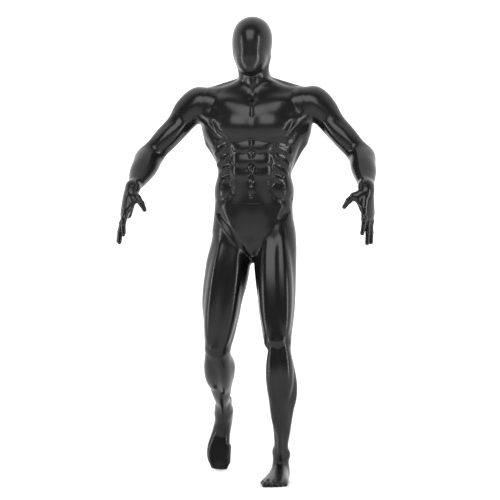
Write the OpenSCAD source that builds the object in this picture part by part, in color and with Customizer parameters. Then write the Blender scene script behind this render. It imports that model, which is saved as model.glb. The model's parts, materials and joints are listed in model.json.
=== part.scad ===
// Rigid grappling figure: hollow moulded casings that come apart at seven seams.
// Millimetres, +Z up. The figure faces -Y; its left side is on +X. The floor is z = 0.

/* [Figure] */
// Height from the floor to the crown in the striding stance
stature = 1825; // [1750:5:1900]
// Wall thickness of the moulded casings
wall = 4; // [3:0.5:5]
// Gap between the rims of two casings that meet
seam_gap = 0.6; // [0.6:0.1:1]

/* [Main fittings] */
// Radius of a spigot at the neck, shoulders, waist and leg
pin_r = 12; // [10:0.5:13]
// How far a spigot reaches past its plate
pin_reach = 70; // [65:5:80]
// Thickness of the end plates
plate_t = 9; // [6:1:12]
// Radius of the fitting flanges
flange_r = 38; // [36:1:40]

/* [Wrist fittings] */
// Radius of a wrist spigot
wrist_pin_r = 5; // [4:0.5:6]
// How far a wrist spigot reaches past its plate
wrist_reach = 28; // [24:2:32]
// Radius of the wrist flanges
wrist_flange_r = 17; // [16:0.5:18]

/* [Stand socket] */
// Radius of the bore that takes a stand rod under the heel
rod_r = 5.1; // [4.6:0.5:6.1]
// Depth of that bore
rod_depth = 75; // [60:5:80]

/* [Hidden] */
$fn = 64;
k = stature / 1825;
sides = 28;
finger_sides = 12;
fit = 0.1;
set_back = 6;
flange_t = 3;
head_t = 2.6;
magnet_t = 2.5;
tube_wall = 3;
bond_gap = 0.4;
// How much smaller each end plate is, where its casing narrows behind the rim:
// the plate on the fixed side of the seam, then the one on the loose side
neck_draw = [3.8, 1.8];
waist_draw = [1.9, 1.2];
shoulder_draw = [0.2, 6.8];
wrist_draw = 3.6;
leg_draw = [4, 3.6];
past_rim = 15;
sole_z = 0;

body_colour = [0.05, 0.05, 0.055];
steel = [0.62, 0.63, 0.65];
zinc = [0.78, 0.78, 0.8];
ply = [0.66, 0.5, 0.33];

// ---- Directions and seams ----
side_x = [1, 0, 0];
side_z = [0, 0, 1];
side_arm = [1, 0, 1];

function unit(v) = v / norm(v);

// A seam: centre, way from the fixed casing to the loose one, side direction,
// half-size along the side, and the two half-sizes across it.
neck_seam = [k * [-7, -26, 1592], unit([0, -0.35, 0.93]), side_x, k * 58, k * 62, k * 60];
waist_seam = [k * [-5, -21, 1085], [0, 0, 1], side_x, k * 150, k * 96, k * 100];
shoulder_seam = [k * [198, -18, 1474], unit([0.938, 0, 0.347]), side_z, k * 72, k * 68, k * 68];
wrist_seam = [k * [452, -279, 1137], unit([0.1, -0.72, -0.69]), side_arm, k * 27, k * 29, k * 29];
leg_seam = [k * [-89, -21, 962], unit([-0.816, 0, -0.577]), side_x, k * 119, k * 90, k * 112];
leg_pull_tilt = -acos(leg_seam[1] * [-1, 0, 0]);
// The loose leg narrows at once under its rim, so its plate is smaller and off centre
leg_plate_rim = [leg_seam[0], leg_seam[1], side_x, k * 104, k * 84, k * 104];
leg_plate_shift = k * 10;

// The rim of a seam as the last or first station of a form. rim_out follows the
// seam's own way, rim_back runs against it.
function rim_out(s, shift) = [s[0] + shift * s[1], s[3], s[4], s[5]];
function rim_back(s, shift) = [s[0] + shift * s[1], s[3], s[5], s[4]];

// A station of a form: centre, half-width, half-size ahead and half-size behind,
// and the way its ring faces where that isn't simply along the form
function station(x, y, z, a, f, b, way) =
    [k * [x, y, z], k * a, k * f, k * b, way == undef ? way : unit(way)];
down = [0, 0, -1];

// ---- Forms: the outer shape of each casing, from top to bottom ----
head_form = [
    station(-20, -36, 1825, 16, 18, 18, down),
    station(-19, -38, 1818, 38, 44, 44, down),
    station(-18, -39, 1800, 57, 68, 66, down),
    station(-17, -41, 1770, 71, 86, 84, down),
    station(-15, -43, 1735, 77, 95, 92, down),
    station(-14, -44, 1700, 76, 97, 86, down),
    station(-13, -44, 1665, 71, 97, 76, down),
    station(-12, -42, 1640, 63, 97, 68, [0, 0.14, -0.99]),
    station(-10, -34, 1617, 59, 84, 62, [0, 0.28, -0.96]),
    station(-8, -30, 1603, 58, 62, 61, [0, 0.35, -0.93]),
    rim_back(neck_seam, seam_gap / 2)
];
torso_form = [
    rim_back(neck_seam, -seam_gap / 2),
    station(-6, -20, 1578, 66, 58, 60, [0, 0.33, -0.94]),
    station(-4, -12, 1560, 106, 52, 60, [0, 0.2, -0.98]),
    station(-4, -13, 1540, 154, 68, 80, [0, 0.1, -1]),
    station(-3, -16, 1500, 180, 96, 108, down),
    station(-2, -20, 1455, 194, 120, 122, down),
    station(-2, -21, 1405, 213, 132, 126, down),
    station(-2, -21, 1355, 203, 130, 122, down),
    station(-3, -21, 1300, 184, 120, 112, down),
    station(-4, -21, 1245, 156, 110, 102, down),
    station(-5, -21, 1195, 143, 103, 95, down),
    station(-5, -21, 1145, 146, 100, 93, down),
    station(-5, -21, 1112, 150, 100, 96, down),
    rim_back(waist_seam, seam_gap / 2)
];
torso_shoulder_form = [
    station(96, -18, 1440, 78, 80, 80),
    station(156, -18, 1460, 76, 74, 74),
    rim_out(shoulder_seam, -seam_gap / 2)
];
pelvis_form = [
    rim_back(waist_seam, -seam_gap / 2),
    station(-6, -21, 1058, 150, 100, 97),
    station(-8, -21, 1010, 156, 100, 112),
    station(-9, -21, 965, 162, 97, 122),
    station(-9, -21, 915, 158, 90, 120),
    station(-9, -21, 886, 104, 74, 96),
    station(-8, -21, 871, 44, 50, 54)
];
pelvis_leg_form = [
    station(-30, -21, 985, 96, 80, 92),
    station(-70, -21, 972, 118, 89, 110),
    rim_out(leg_seam, -seam_gap / 2)
];
left_leg_form = [
    station(62, -21, 1048, 70, 76, 86),
    station(76, -22, 985, 82, 90, 112),
    station(83, -34, 905, 83, 88, 102),
    station(88, -56, 830, 78, 84, 90),
    station(92, -84, 750, 73, 78, 80),
    station(94, -110, 670, 67, 70, 72),
    station(96, -132, 600, 58, 60, 62),
    station(99, -146, 548, 51, 56, 54),
    station(103, -144, 505, 48, 50, 54),
    station(110, -134, 450, 50, 46, 64),
    station(112, -126, 385, 59, 44, 68),
    station(114, -121, 315, 51, 41, 56),
    station(112, -117, 240, 37, 35, 40),
    station(110, -113, 170, 29, 32, 34),
    station(109, -108, 115, 28, 36, 38),
    station(107, -104, 60, 33, 40, 40)
];
left_foot_form = [
    station(104, -60, 30, 22, 20, 36),
    station(104, -70, 36, 31, 36, 44),
    station(105, -101, 46, 35, 46, 54),
    station(107, -144, 42, 36, 42, 50),
    station(109, -188, 32, 41, 30, 40),
    station(110, -232, 22, 48, 19, 30),
    station(109, -272, 16, 48, 12, 24),
    station(108, -294, 12, 38, 9, 20),
    station(107, -304, 9, 22, 7, 16)
];
right_leg_form = [
    rim_out(leg_seam, seam_gap / 2),
    station(-106, -26, 858, 84, 88, 104),
    station(-114, -34, 796, 81, 84, 92),
    station(-122, -42, 730, 78, 78, 84),
    station(-131, -54, 645, 70, 70, 74),
    station(-140, -66, 565, 56, 58, 62),
    station(-149, -72, 517, 50, 52, 56),
    station(-153, -44, 482, 49, 48, 54),
    station(-155, 10, 440, 55, 44, 62),
    station(-157, 68, 395, 58, 44, 66),
    station(-161, 136, 341, 48, 40, 52),
    station(-166, 200, 292, 33, 34, 38),
    station(-170, 250, 256, 29, 33, 35),
    station(-168, 286, 232, 30, 34, 36)
];
right_foot_form = [
    station(-163, 340, 284, 24, 30, 22),
    station(-164, 330, 262, 32, 46, 32),
    station(-168, 310, 218, 35, 48, 32),
    station(-175, 288, 165, 38, 36, 27),
    station(-184, 266, 105, 45, 25, 24),
    station(-190, 249, 52, 46, 17, 19),
    station(-192, 240, 16, 36, 12, 13),
    station(-192, 237, 0, 26, 8, 9)
];
arm_form = [
    rim_out(shoulder_seam, seam_gap / 2),
    station(230, -19, 1476, 72, 72, 70, [0.998, 0, -0.06]),
    station(259, -22, 1462, 68, 70, 67, [0.89, 0, -0.45]),
    station(285, -27, 1428, 54, 62, 60, [0.65, -0.1, -0.76]),
    station(307, -33, 1406, 50, 57, 56),
    station(334, -41, 1376, 47, 54, 53),
    station(364, -50, 1342, 46, 53, 50),
    station(394, -60, 1306, 47, 50, 48),
    station(422, -78, 1268, 48, 46, 47),
    station(430, -112, 1242, 52, 46, 46),
    station(435, -152, 1218, 48, 43, 44),
    station(441, -194, 1192, 40, 36, 38),
    station(447, -242, 1161, 30, 30, 30),
    rim_out(wrist_seam, -seam_gap / 2)
];

// ---- Hands, in a frame of their own: outward, towards the thumb, towards the tips ----
palm_form = [
    [[-1, 0, 24], 20, 31, 30],
    [[-2, 2, 56], 15, 40, 38],
    [[-3, 1, 84], 13, 42, 41],
    [[-3, 0, 102], 11, 38, 38]
];
// A digit: joints from the knuckle to the tip, then the half-width at each
index_path = [[-3, 30, 92], [-2, 33, 124], [-6, 35, 150], [-12, 35, 172]];
middle_path = [[-3, 11, 98], [-1, 12, 138], [-3, 12, 172], [-8, 11, 203]];
ring_path = [[-3, -9, 96], [-1, -11, 134], [-4, -12, 168], [-10, -13, 199]];
little_path = [[-4, -27, 90], [-3, -30, 118], [-6, -32, 143], [-12, -33, 168]];
finger_r = [10.5, 9.5, 8.5, 7];
left_thumb_path = [[-4, 20, 22], [-34, 38, 31], [-55, 42, 47], [-75, 42, 68]];
right_thumb_path = [[-4, 20, 22], [-27, 40, 36], [-45, 50, 54], [-61, 54, 76]];
thumb_r = [15, 12.5, 10.5, 8];
// How each hand hangs: the way it points, and how far its back turns forward
left_hang = [unit([0.1, -0.2, -0.98]), 20];
right_hang = [unit([0.25, -0.2, -0.95]), 4];

function frame_u(n, side) = unit(side - (side * n) * n);

// A point of the hand frame in the figure's frame
function hand_point(p, hang) =
    let (way = hang[0],
         u = frame_u(way, [cos(hang[1]), -sin(hang[1]), 0]),
         v = cross(way, u))
    wrist_seam[0] + k * (p[0] * u + p[1] * v + p[2] * way);

// ---- Lofting ----
function heading(s, i, n0, n1) =
    i == 0 && n0 != undef ? n0
    : i == len(s) - 1 && n1 != undef ? n1
    : s[i][4] != undef ? s[i][4]
    : unit(s[min(i + 1, len(s) - 1)][0] - s[max(i - 1, 0)][0]);

// An egg-shaped ring across a form: a each way along the side, f ahead and b behind
function ring_points(c, n, side, a, f, b, count) =
    let (u = frame_u(n, side), v = cross(n, u))
    [for (i = [0 : count - 1])
        let (t = 360 * i / count)
        c + a * cos(t) * u + (sin(t) > 0 ? f : b) * sin(t) * v];

module span(p) {
    hull() polyhedron(points = p, faces = [[for (i = [0 : len(p) - 1]) i]]);
}

// Joins the stations of a form. inset shrinks every ring; lead and tail move the
// two ends inwards (positive) or past the rim (negative).
module loft(s, side, n0 = undef, n1 = undef, inset = 0, lead = 0, tail = 0, count = sides) {
    last = len(s) - 1;
    rings = [for (i = [0 : last])
        let (n = heading(s, i, n0, n1),
             shift = i == 0 ? lead : i == last ? -tail : 0)
        ring_points(s[i][0] + shift * n, n, side,
                    s[i][1] - inset, s[i][2] - inset, s[i][3] - inset, count)];
    for (i = [0 : last - 1])
        span(concat(rings[i], rings[i + 1]));
}

// Places children with +Z along a seam's way and +X along its side
module at(s) {
    u = frame_u(s[1], s[2]);
    v = cross(s[1], u);
    multmatrix([
        [u[0], v[0], s[1][0], s[0][0]],
        [u[1], v[1], s[1][1], s[0][1]],
        [u[2], v[2], s[1][2], s[0][2]]
    ]) children();
}

// ---- Fittings, in a seam's frame with z = 0 in the seam ----
// A fitting: pin radius, reach, flange radius, screw radius, screw head radius,
// screws, tilt of the pin from the seam's normal, index pin radius
main_fit = [pin_r, pin_reach, flange_r, 2.5, 4.5, 4, 0, 0];
slide_fit = [pin_r, pin_reach, flange_r, 2.5, 4.5, 4, 0, 3];
leg_fit = [pin_r, pin_reach, flange_r, 2.5, 4.5, 4, leg_pull_tilt, 3];
wrist_fit = [wrist_pin_r, wrist_reach, wrist_flange_r, 1.5, 2.7, 3, 0, 0];

function bolt_r(f) = f[2] - f[4] - 2;
function socket_r(f) = f[0] + fit + tube_wall;
function index_at(f) = [0, bolt_r(f), 0];

module round_bolts(f) {
    for (i = [0 : f[5] - 1])
        rotate([0, 0, 360 * (i + 0.5) / f[5]]) translate([bolt_r(f), 0, 0]) children();
}

// A bar along the fitting's pull, long enough to pass both plates
module pull_bar(f, r, from, to, offset = [0, 0, 0]) {
    rotate([0, f[6], 0]) translate(offset) translate([0, 0, from]) cylinder(r = r, h = to - from);
}

module keep_below(z) {
    difference() {
        children();
        translate([-100, -100, z]) cube([200, 200, 200]);
    }
}

module oval(a, plus, minus) {
    polygon([for (i = [0 : 95])
        let (t = 360 * i / 96)
        [a * cos(t), (sin(t) > 0 ? plus : minus) * sin(t)]]);
}

module plate_blank(s, z, draw, shift = 0) {
    less = wall + bond_gap + draw;
    translate([shift, 0, z]) linear_extrude(plate_t) oval(s[3] - less, s[4] - less, s[5] - less);
}

// Plate on the fixed side, bored for the socket, the screws and the index pin
module socket_plate(s, f, draw) {
    z = -set_back - plate_t;
    at(s) difference() {
        plate_blank(s, z, draw);
        pull_bar(f, socket_r(f) + fit, -5 * plate_t, plate_t);
        translate([0, 0, z - 1]) round_bolts(f) cylinder(r = f[3] + fit, h = plate_t + 2);
        if (f[7] > 0) pull_bar(f, f[7] + 2 * fit, -5 * plate_t, plate_t, index_at(f));
    }
}

// Plate on the loose side, drilled for the spigot's screws
module spigot_plate(s, f, draw, shift = 0) {
    at(s) difference() {
        plate_blank(s, set_back, draw, shift);
        translate([0, 0, set_back - 1]) round_bolts(f) cylinder(r = f[3] + fit, h = plate_t + 2);
    }
}

module socket(s, f) {
    floor_z = -set_back - f[1] - 4;
    at(s) difference() {
        keep_below(flange_t - set_back) union() {
            translate([0, 0, -set_back]) cylinder(r = f[2], h = flange_t);
            pull_bar(f, socket_r(f), floor_z, 2 * flange_t);
        }
        pull_bar(f, f[0] + fit, floor_z + tube_wall, plate_t);
        translate([0, 0, -set_back - 1]) round_bolts(f) cylinder(r = f[3] + fit, h = flange_t + 2);
        if (f[7] > 0) pull_bar(f, f[7] + fit, -6 * flange_t, plate_t, index_at(f));
    }
}

module spigot(s, f) {
    tip_z = -set_back - f[1];
    chamfer = f[0] / 4;
    index_tip = -set_back - flange_t - 6;
    at(s) difference() {
        keep_below(set_back) union() {
            translate([0, 0, set_back - flange_t]) cylinder(r = f[2], h = flange_t);
            pull_bar(f, f[0], tip_z + chamfer, 2 * set_back);
            rotate([0, f[6], 0]) translate([0, 0, tip_z])
                cylinder(r1 = f[0] - chamfer, r2 = f[0], h = chamfer);
            if (f[7] > 0) pull_bar(f, f[7], index_tip, 2 * set_back, index_at(f));
        }
        translate([0, 0, set_back - flange_t - 1])
            round_bolts(f) cylinder(r = f[3] + fit, h = flange_t + 2);
    }
}

// Ring magnet on the socket's flange
module magnet(s, f) {
    at(s) translate([0, 0, flange_t - set_back]) difference() {
        cylinder(r = bolt_r(f) - f[4] - 0.6, h = magnet_t);
        translate([0, 0, -1]) cylinder(r = f[0] + 1.5, h = magnet_t + 2);
    }
}

// One screw, head towards +Z on z = 0, with a hexagon key recess
module screw(f, grip) {
    difference() {
        union() {
            cylinder(r = f[4], h = head_t);
            translate([0, 0, -grip]) cylinder(r = f[3], h = grip + 1);
        }
        translate([0, 0, head_t - 1.5]) cylinder(r = 0.62 * f[4], h = 2, $fn = 6);
    }
}

module socket_screws(s, f) {
    at(s) translate([0, 0, flange_t - set_back]) round_bolts(f) screw(f, flange_t + plate_t);
}

module spigot_screws(s, f, grip = flange_t + plate_t) {
    at(s) translate([0, 0, set_back - flange_t]) mirror([0, 0, 1]) round_bolts(f) screw(f, grip);
}

// ---- Head ----
module head_solid(inset = 0) {
    open = inset > 0 ? -past_rim : 0;
    loft(head_form, side_x, n1 = -neck_seam[1], inset = inset, lead = inset, tail = open);
}

module head_shell() {
    color(body_colour) difference() {
        head_solid();
        head_solid(wall);
    }
}

module head_neck_plate() {
    color(ply) spigot_plate(neck_seam, main_fit, neck_draw[1]);
}

module neck_spigot() {
    color(steel) spigot(neck_seam, main_fit);
}

module head_screws() {
    color(zinc) spigot_screws(neck_seam, main_fit);
}

// ---- Torso ----
module torso_solid(inset = 0) {
    open = inset > 0 ? -past_rim : 0;
    loft(torso_form, side_x, n0 = -neck_seam[1], n1 = -waist_seam[1],
         inset = inset, lead = open, tail = open);
    for (m = [0, 1]) mirror([m, 0, 0])
        loft(torso_shoulder_form, side_z, n1 = shoulder_seam[1], inset = inset, tail = open);
}

module torso_shell() {
    color(body_colour) difference() {
        torso_solid();
        torso_solid(wall);
    }
}

module torso_waist_plate() {
    color(ply) spigot_plate(waist_seam, slide_fit, waist_draw[1]);
}

module waist_spigot() {
    color(steel) spigot(waist_seam, slide_fit);
}

module torso_neck_plate() {
    color(ply) socket_plate(neck_seam, main_fit, neck_draw[0]);
}

module neck_socket() {
    color(steel) socket(neck_seam, main_fit);
}

module neck_magnet() {
    color(zinc) magnet(neck_seam, main_fit);
}

module torso_left_plate() {
    color(ply) socket_plate(shoulder_seam, main_fit, shoulder_draw[0]);
}

module left_shoulder_socket() {
    color(steel) socket(shoulder_seam, main_fit);
}

module left_shoulder_magnet() {
    color(zinc) magnet(shoulder_seam, main_fit);
}

module torso_right_plate() {
    mirror([1, 0, 0]) torso_left_plate();
}

module right_shoulder_socket() {
    mirror([1, 0, 0]) left_shoulder_socket();
}

module right_shoulder_magnet() {
    mirror([1, 0, 0]) left_shoulder_magnet();
}

module torso_screws() {
    color(zinc) {
        spigot_screws(waist_seam, slide_fit);
        socket_screws(neck_seam, main_fit);
        socket_screws(shoulder_seam, main_fit);
        mirror([1, 0, 0]) socket_screws(shoulder_seam, main_fit);
    }
}

// ---- Arms: the right one mirrors the left ----
module left_arm_shell() {
    color(body_colour) difference() {
        loft(arm_form, side_arm, n0 = shoulder_seam[1], n1 = wrist_seam[1]);
        loft(arm_form, side_arm, n0 = shoulder_seam[1], n1 = wrist_seam[1],
             inset = wall, lead = -past_rim, tail = -past_rim);
    }
}

module left_arm_plate() {
    color(ply) spigot_plate(shoulder_seam, main_fit, shoulder_draw[1]);
}

module left_arm_spigot() {
    color(steel) spigot(shoulder_seam, main_fit);
}

module left_wrist_plate() {
    color(ply) socket_plate(wrist_seam, wrist_fit, wrist_draw);
}

module left_wrist_socket() {
    color(steel) socket(wrist_seam, wrist_fit);
}

module left_wrist_magnet() {
    color(zinc) magnet(wrist_seam, wrist_fit);
}

module left_arm_screws() {
    color(zinc) {
        spigot_screws(shoulder_seam, main_fit);
        socket_screws(wrist_seam, wrist_fit);
    }
}

module right_arm_shell() {
    mirror([1, 0, 0]) left_arm_shell();
}

module right_arm_plate() {
    mirror([1, 0, 0]) left_arm_plate();
}

module right_arm_spigot() {
    mirror([1, 0, 0]) left_arm_spigot();
}

module right_wrist_plate() {
    mirror([1, 0, 0]) left_wrist_plate();
}

module right_wrist_socket() {
    mirror([1, 0, 0]) left_wrist_socket();
}

module right_wrist_magnet() {
    mirror([1, 0, 0]) left_wrist_magnet();
}

module right_arm_screws() {
    mirror([1, 0, 0]) left_arm_screws();
}

// ---- Hands: solid castings with a pocket for the spigot's flange ----
module digit(path, radii, hang) {
    loft([for (i = [0 : len(path) - 1])
             let (r = k * radii[i])
             [hand_point(path[i], hang), r, r, r]],
         side_arm, count = finger_sides);
}

module hand(hang, thumb_path) {
    palm = [for (s = palm_form) [hand_point(s[0], hang), k * s[1], k * s[2], k * s[3]]];
    palm_side = [cos(hang[1]), -sin(hang[1]), 0];
    color(body_colour) difference() {
        union() {
            loft(concat([rim_out(wrist_seam, seam_gap / 2)], palm), palm_side, n0 = wrist_seam[1]);
            for (path = [index_path, middle_path, ring_path, little_path])
                digit(path, finger_r, hang);
            digit(thumb_path, thumb_r, hang);
        }
        at(wrist_seam) {
            cylinder(r = wrist_flange_r + bond_gap, h = set_back);
            round_bolts(wrist_fit) cylinder(r = wrist_fit[3] + fit, h = set_back + plate_t + 1);
        }
    }
}

module left_hand_casting() {
    hand(left_hang, left_thumb_path);
}

module left_hand_spigot() {
    color(steel) spigot(wrist_seam, wrist_fit);
}

module left_hand_screws() {
    color(zinc) spigot_screws(wrist_seam, wrist_fit);
}

module right_hand_casting() {
    mirror([1, 0, 0]) hand(right_hang, right_thumb_path);
}

module right_hand_spigot() {
    mirror([1, 0, 0]) left_hand_spigot();
}

module right_hand_screws() {
    mirror([1, 0, 0]) left_hand_screws();
}

// ---- Hips and standing leg, one casing ----
rod_at = k * [106, -102, 0] + [0, 0, 1];
rod_tube_r = rod_r + tube_wall;

module hips_solid(inset = 0) {
    open = inset > 0 ? -past_rim : 0;
    difference() {
        loft(pelvis_form, side_x, n0 = -waist_seam[1], inset = inset, lead = open, tail = inset);
        at(leg_seam) translate([-stature / 4, -stature / 4, -seam_gap / 2 - open])
            cube([stature / 2, stature / 2, stature / 4]);
    }
    loft(pelvis_leg_form, side_x, n1 = leg_seam[1], inset = inset, tail = open);
    loft(left_leg_form, side_x, inset = inset, lead = inset, tail = inset);
}

module left_foot_solid(inset = 0) {
    floor_z = sole_z + inset;
    difference() {
        loft(left_foot_form, side_x, inset = inset, lead = inset, tail = inset);
        translate([0, -stature / 4, floor_z - stature / 10])
            cube([stature / 4, stature / 4, stature / 10]);
    }
}

module hips_left_leg_shell() {
    color(body_colour) difference() {
        union() {
            hips_solid();
            left_foot_solid();
        }
        hips_solid(wall);
        left_foot_solid(wall);
        translate(rod_at - [0, 0, wall]) cylinder(r = rod_tube_r + fit, h = 3 * wall, $fn = 32);
    }
}

module hips_waist_plate() {
    color(ply) socket_plate(waist_seam, slide_fit, waist_draw[0]);
}

module waist_socket() {
    color(steel) socket(waist_seam, slide_fit);
}

module hips_leg_plate() {
    color(ply) socket_plate(leg_seam, leg_fit, leg_draw[0]);
}

module leg_socket() {
    color(steel) socket(leg_seam, leg_fit);
}

module foot_rod_tube() {
    color(steel) translate(rod_at) difference() {
        cylinder(r = rod_tube_r, h = rod_depth + tube_wall);
        translate([0, 0, -1]) cylinder(r = rod_r, h = rod_depth + 1);
    }
}

module hips_screws() {
    color(zinc) {
        socket_screws(waist_seam, slide_fit);
        socket_screws(leg_seam, leg_fit);
    }
}

// ---- Loose right leg ----
module right_leg_solid(inset = 0) {
    open = inset > 0 ? -past_rim : 0;
    loft(right_leg_form, side_x, n0 = leg_seam[1], inset = inset, lead = open, tail = inset);
    loft(right_foot_form, side_x, n1 = [0, 0, -1], inset = inset, lead = inset, tail = inset);
}

module right_leg_shell() {
    color(body_colour) difference() {
        right_leg_solid();
        right_leg_solid(wall);
    }
}

module right_leg_plate() {
    color(ply) spigot_plate(leg_plate_rim, leg_fit, leg_draw[1], leg_plate_shift);
}

module right_leg_spigot() {
    color(steel) spigot(leg_seam, leg_fit);
}

module right_leg_screws() {
    color(zinc) spigot_screws(leg_seam, leg_fit);
}

// ---- What is drawn ----
hips_left_leg_shell();
hips_waist_plate();
waist_socket();
hips_leg_plate();
leg_socket();
foot_rod_tube();
hips_screws();
torso_shell();
torso_waist_plate();
waist_spigot();
torso_neck_plate();
neck_socket();
neck_magnet();
torso_left_plate();
left_shoulder_socket();
left_shoulder_magnet();
torso_right_plate();
right_shoulder_socket();
right_shoulder_magnet();
torso_screws();
head_shell();
head_neck_plate();
neck_spigot();
head_screws();
left_arm_shell();
left_arm_plate();
left_arm_spigot();
left_wrist_plate();
left_wrist_socket();
left_wrist_magnet();
left_arm_screws();
right_arm_shell();
right_arm_plate();
right_arm_spigot();
right_wrist_plate();
right_wrist_socket();
right_wrist_magnet();
right_arm_screws();
left_hand_casting();
left_hand_spigot();
left_hand_screws();
right_hand_casting();
right_hand_spigot();
right_hand_screws();
right_leg_shell();
right_leg_plate();
right_leg_spigot();
right_leg_screws();
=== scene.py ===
"""A glossy black display figure in mid stride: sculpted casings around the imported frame.

The body is drawn as lists of smooth forms, in millimetres. The casings on both sides of a
seam share the forms of the trunk or limb that crosses it. They don't share the hand's
forms: on the little finger's side a hand's rim stands out past the arm's, by about 15 mm.
"""
import json
import math

import bmesh
import bpy
import numpy as np
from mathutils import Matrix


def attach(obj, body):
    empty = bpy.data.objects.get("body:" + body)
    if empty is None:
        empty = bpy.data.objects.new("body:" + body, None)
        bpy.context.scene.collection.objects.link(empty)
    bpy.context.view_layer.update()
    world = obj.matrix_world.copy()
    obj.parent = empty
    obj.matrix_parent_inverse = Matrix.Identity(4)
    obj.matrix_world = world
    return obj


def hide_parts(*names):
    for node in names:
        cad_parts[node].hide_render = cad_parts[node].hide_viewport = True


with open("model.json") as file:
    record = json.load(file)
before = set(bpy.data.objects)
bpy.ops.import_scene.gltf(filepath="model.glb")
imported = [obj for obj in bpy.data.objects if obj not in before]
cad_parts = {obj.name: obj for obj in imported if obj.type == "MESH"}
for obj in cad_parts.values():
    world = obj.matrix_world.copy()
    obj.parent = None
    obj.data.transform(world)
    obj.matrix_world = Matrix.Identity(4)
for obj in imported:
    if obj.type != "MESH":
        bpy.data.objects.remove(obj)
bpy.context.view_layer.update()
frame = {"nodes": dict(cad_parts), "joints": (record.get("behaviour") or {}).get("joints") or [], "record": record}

import openvdb
from mathutils import Vector

MM = 0.001
FAR = 60.0            # distance given to points that no form reaches, mm
REACH = 40.0          # how far beyond its own size a form is worked out, mm
DRAWN_ABOUT = -45.0   # y that the forms are drawn about, mm
STEP_BACK = 24.0      # how far the finished forms are moved along Y into the row's frame, mm
THROUGH = 160.0       # how far a relief that is drawn in a view reaches along that view, mm
COARSE = 1.0
JOINTS = {j["name"]: j for j in frame["joints"]}
SIDES = {"left": 1, "right": -1}


def unit(v):
    v = np.asarray(v, float)
    return v / np.linalg.norm(v)


def joint_place(name):
    """Centre in mm and unit axis of a joint of the record."""
    joint = JOINTS[name]
    return np.array(joint.get("pos_m", (0, 0, 0))) / MM, unit(joint["axis"])


# ---------------------------------------------------------------- forms
# A form is (lowest corner, highest corner, measure, join). measure(x, y, z) gives a
# distance, or a height for relief, and join puts it into the distances so far.

def merge(k):
    """Adds a form, rounding the crease where it meets the others over k mm."""
    def join(d, other):
        h = np.maximum(k - np.abs(d - other), 0) / k
        return np.minimum(d, other) - h * h * h * k / 6
    return join


def remove(k):
    """Takes a form away, rounding the edge over k mm."""
    def join(d, other):
        h = np.maximum(k - np.abs(d + other), 0) / k
        return np.maximum(d, -other) + h * h * h * k / 6
    return join


def carve(d, depth):
    """Moves the surface in by depth, or out where depth is below 0."""
    return d + depth


def boxed(points, grow, measure, join):
    """A form from its measure, moved from the drawing's place to the row's frame."""
    points = np.asarray(points, float).reshape(-1, 3) + (0, STEP_BACK, 0)

    def moved(x, y, z):
        return measure(x, y - STEP_BACK, z)
    return points.min(0) - grow, points.max(0) + grow, moved, join


def ball(c, r, k):
    """A ball of radius r."""
    def measure(x, y, z):
        return np.sqrt((x - c[0]) ** 2 + (y - c[1]) ** 2 + (z - c[2]) ** 2) - r
    return boxed([c], r + REACH, measure, merge(k))


def turned(turn):
    """Rows are the form's own X, Y and Z for a turn about X, then Y, then Z, in degrees."""
    ax, ay, az = (math.radians(t) for t in turn)
    rx = np.array([[1, 0, 0], [0, math.cos(ax), -math.sin(ax)], [0, math.sin(ax), math.cos(ax)]])
    ry = np.array([[math.cos(ay), 0, math.sin(ay)], [0, 1, 0], [-math.sin(ay), 0, math.cos(ay)]])
    rz = np.array([[math.cos(az), -math.sin(az), 0], [math.sin(az), math.cos(az), 0], [0, 0, 1]])
    return (rz @ ry @ rx).T


def egg(c, r, k, turn=(0, 0, 0), axes=None, join=None):
    """An ellipsoid with half-sizes r."""
    rows = turned(turn) if axes is None else np.asarray(axes)

    def measure(x, y, z):
        px, py, pz = x - c[0], y - c[1], z - c[2]
        near, steep = 1e-9, 1e-9
        for row, size in zip(rows, r):
            q = (row[0] * px + row[1] * py + row[2] * pz) / size
            near = near + q * q
            steep = steep + (q / size) ** 2
        near = np.sqrt(near)
        return near * (near - 1) / np.sqrt(steep)
    return boxed([c], max(r) + REACH, measure, join or merge(k))


def along(a, b):
    """Measures a point against the line from a to b: share along it, and offset from it."""
    a, b = np.asarray(a, float), np.asarray(b, float)
    d = b - a
    length2 = float(d @ d)

    def place(x, y, z):
        px, py, pz = x - a[0], y - a[1], z - a[2]
        t = np.clip((px * d[0] + py * d[1] + pz * d[2]) / length2, 0, 1)
        return t, (px - t * d[0], py - t * d[1], pz - t * d[2])
    return place


def rod(a, b, ra, rb, k):
    """A round bar from a to b that tapers from ra to rb, with round ends."""
    place = along(a, b)

    def measure(x, y, z):
        t, (px, py, pz) = place(x, y, z)
        return np.sqrt(px * px + py * py + pz * pz) - (ra + (rb - ra) * t)
    return boxed([a, b], max(ra, rb) + REACH, measure, merge(k))


def belly(a, b, thick, wide, flat, k):
    """A muscle from a to b: an egg along the line, wide across and thick towards flat."""
    a, b = np.asarray(a, float), np.asarray(b, float)
    e0 = unit(b - a)
    e2 = unit(np.asarray(flat, float) - (np.asarray(flat, float) @ e0) * e0)
    return egg((a + b) / 2, (np.linalg.norm(b - a) / 2, wide, thick), k,
               axes=[e0, np.cross(e2, e0), e2])


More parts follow.
